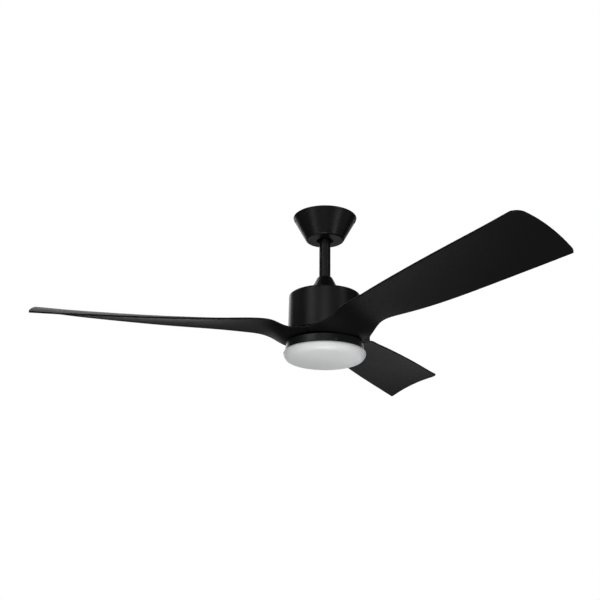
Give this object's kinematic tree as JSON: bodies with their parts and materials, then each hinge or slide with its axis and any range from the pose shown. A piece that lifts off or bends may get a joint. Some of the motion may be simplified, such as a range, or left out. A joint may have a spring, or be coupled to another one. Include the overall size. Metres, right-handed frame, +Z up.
{
  "type": "ceiling fan with light",
  "caption": "Ceiling fan with a round opal light: twisted plastic blades on an outrunner motor, hung on a short downrod from a conical canopy by a tilting ball.",
  "frame": {"origin": "centre of the ceiling mounting face, midway between the two screw slots", "axes": "+Z up into the ceiling, along the downrod; +X along the line of the two screw slots; at rest one blade points towards -X, turned 4.8 degrees"},
  "size_m": [1.0547, 1.1572, 0.3536],
  "materials": {
    "satin_black_metal": "satin powder coat",
    "blade_black": "fine moulded grain, matte",
    "opal": "opal, translucent, satin",
    "zinc_steel": "zinc plated",
    "screw_steel": "plated",
    "black_screw": "blackened",
    "cast_alloy": "as cast",
    "lamination": "stacked sheet",
    "copper": "enamelled wire",
    "magnet": "sintered",
    "nylon": "smooth",
    "rubber_black": "matte",
    "pcb_green": "solder mask",
    "pcb_white": "white solder mask on metal core",
    "led_phosphor": "cast resin",
    "module_plastic": "moulded",
    "terminal_white": "moulded",
    "wire_insulation": "smooth",
    "mark_grey": "printed"
  },
  "bodies": {
    "ceiling_mount": {"ceiling_bracket": "zinc_steel", "earth_screw": "screw_steel", "receiver_box": "module_plastic", "terminal_block": "terminal_white", "terminal_screws": "screw_steel", "canopy": "satin_black_metal", "canopy_screws": "black_screw"},
    "ball_seat": {"ball_seat_liner": "nylon"},
    "suspension": {"hanger_ball": "nylon", "ball_pin": "screw_steel", "downrod": "satin_black_metal", "wiring_loom": "wire_insulation", "motor_coupling": "cast_alloy", "coupling_set_screws": "screw_steel", "clevis_pin": "screw_steel", "retaining_clip": "screw_steel", "coupling_cover": "satin_black_metal", "motor_housing": "satin_black_metal", "housing_screws": "screw_steel", "motor_shaft": "screw_steel", "control_board": "pcb_green", "board_standoffs": "screw_steel", "board_components": "module_plastic", "stator_core": "lamination", "stator_windings": "copper", "bearing_inner_races": "screw_steel", "light_pan": "satin_black_metal", "lock_mark": "mark_grey", "shaft_nuts": "zinc_steel", "led_driver": "terminal_white", "led_board": "pcb_white", "led_chips": "led_phosphor", "led_board_screws": "screw_steel"},
    "rotor": {"bearing_outer_races": "screw_steel", "bearing_balls": "screw_steel", "rotor_cap": "cast_alloy", "rotor_cap_screws": "screw_steel", "rotor_bell": "cast_alloy", "rotor_magnets": "magnet", "blade_hub": "cast_alloy", "hub_screws": "screw_steel", "blade_gaskets": "rubber_black", "blade_a": "blade_black", "blade_b": "blade_black", "blade_c": "blade_black", "blade_screws": "screw_steel"},
    "light_cover": {"diffuser": "opal", "diffuser_ring": "terminal_white"}
  },
  "joints": [
    {"name": "hanger_tilt_x", "type": "hinge", "parent": "ceiling_mount", "child": "ball_seat", "pos_m": [0, 0, -0.034], "axis": [1, 0, 0], "range_deg": [-7, 7]},
    {"name": "hanger_tilt_y", "type": "hinge", "parent": "ball_seat", "child": "suspension", "pos_m": [0, 0, -0.034], "axis": [0, 1, 0], "range_deg": [-7, 7]},
    {"name": "rotor_spin", "type": "hinge", "parent": "suspension", "child": "rotor", "pos_m": [0, 0, -0.287], "axis": [0, 0, 1], "continuous": true},
    {"name": "diffuser_twist", "type": "hinge", "parent": "suspension", "child": "light_cover", "pos_m": [0, 0, -0.319], "axis": [0, 0, 1], "range_deg": [-18, 0]}
  ]
}
